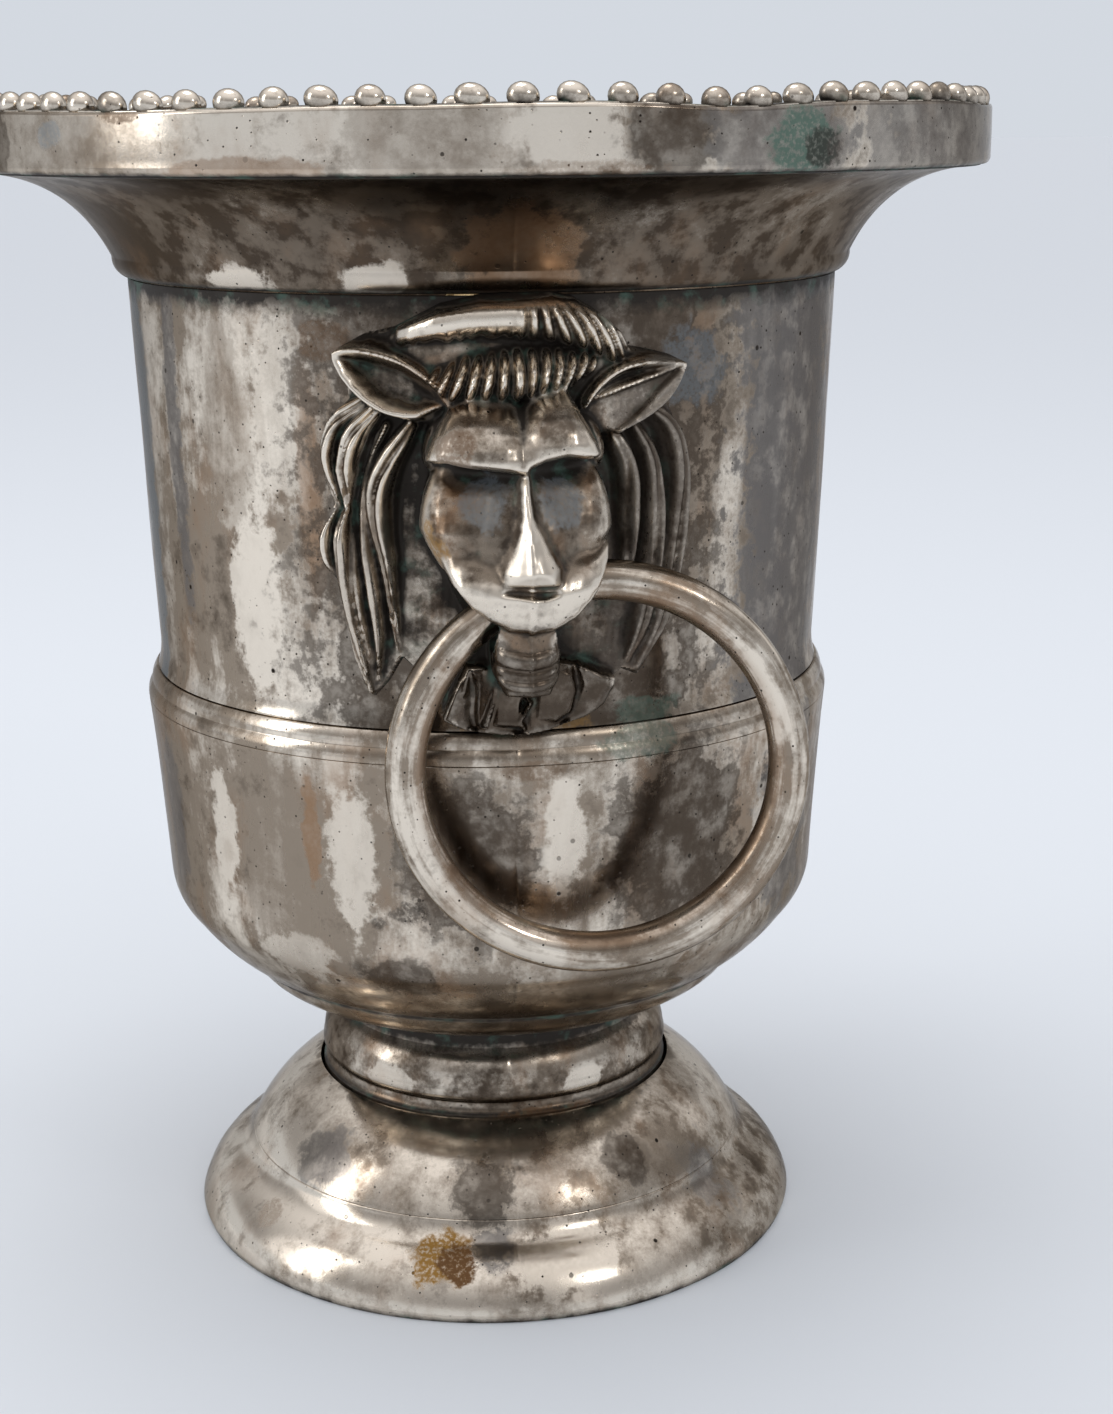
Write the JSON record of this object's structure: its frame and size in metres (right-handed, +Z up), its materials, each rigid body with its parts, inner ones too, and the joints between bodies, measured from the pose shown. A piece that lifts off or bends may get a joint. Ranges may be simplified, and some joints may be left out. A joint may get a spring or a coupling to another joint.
{
  "type": "champagne cooler",
  "caption": "Footed silver-plated champagne cooler with a flared beaded mouth, stepped drum, bell foot, and a cast animal-eared mask with a ring handle on front and back.",
  "frame": {"origin": "centre of the face that the foot stands on", "axes": "+Z up along the vessel's axis, -Y towards the front mask, +X to the right seen from the front"},
  "size_m": [0.2046, 0.2046, 0.2405],
  "materials": {
    "silver_plate": "worn silver plate with warm grey tarnish and small dark pits",
    "tarnished_silver": "darkly tarnished silver plate",
    "brass": "unplated, dull brass",
    "rubber": "black sealing rubber"
  },
  "bodies": {
    "vessel": {"foot_base_ring": "silver_plate", "foot_bell": "silver_plate", "stem_collar": "tarnished_silver", "lower_cup": "silver_plate", "waist_moulding": "silver_plate", "drum": "silver_plate", "mouth_flare": "silver_plate", "rim_band": "silver_plate", "bead_border": "silver_plate", "foot_bolt": "brass", "sealing_washer": "rubber", "foot_washer": "brass", "foot_nut": "brass", "front_handle_mask": "tarnished_silver", "front_upper_mask_stud": "brass", "front_upper_mask_washer": "brass", "front_upper_mask_nut": "brass", "front_lower_mask_stud": "brass", "front_lower_mask_washer": "brass", "front_lower_mask_nut": "brass", "back_handle_mask": "tarnished_silver", "back_upper_mask_stud": "brass", "back_upper_mask_washer": "brass", "back_upper_mask_nut": "brass", "back_lower_mask_stud": "brass", "back_lower_mask_washer": "brass", "back_lower_mask_nut": "brass"},
    "front_ring": {"front_ring_handle": "silver_plate"},
    "back_ring": {"back_ring_handle": "silver_plate"}
  },
  "joints": [
    {"name": "front_ring_swing", "type": "hinge", "parent": "vessel", "child": "front_ring", "pos_m": [0, -0.08, 0.1498], "axis": [-1, 0, 0], "range_deg": [-5, 105]},
    {"name": "back_ring_swing", "type": "hinge", "parent": "vessel", "child": "back_ring", "pos_m": [0, 0.08, 0.1498], "axis": [1, 0, 0], "range_deg": [-5, 105]}
  ]
}
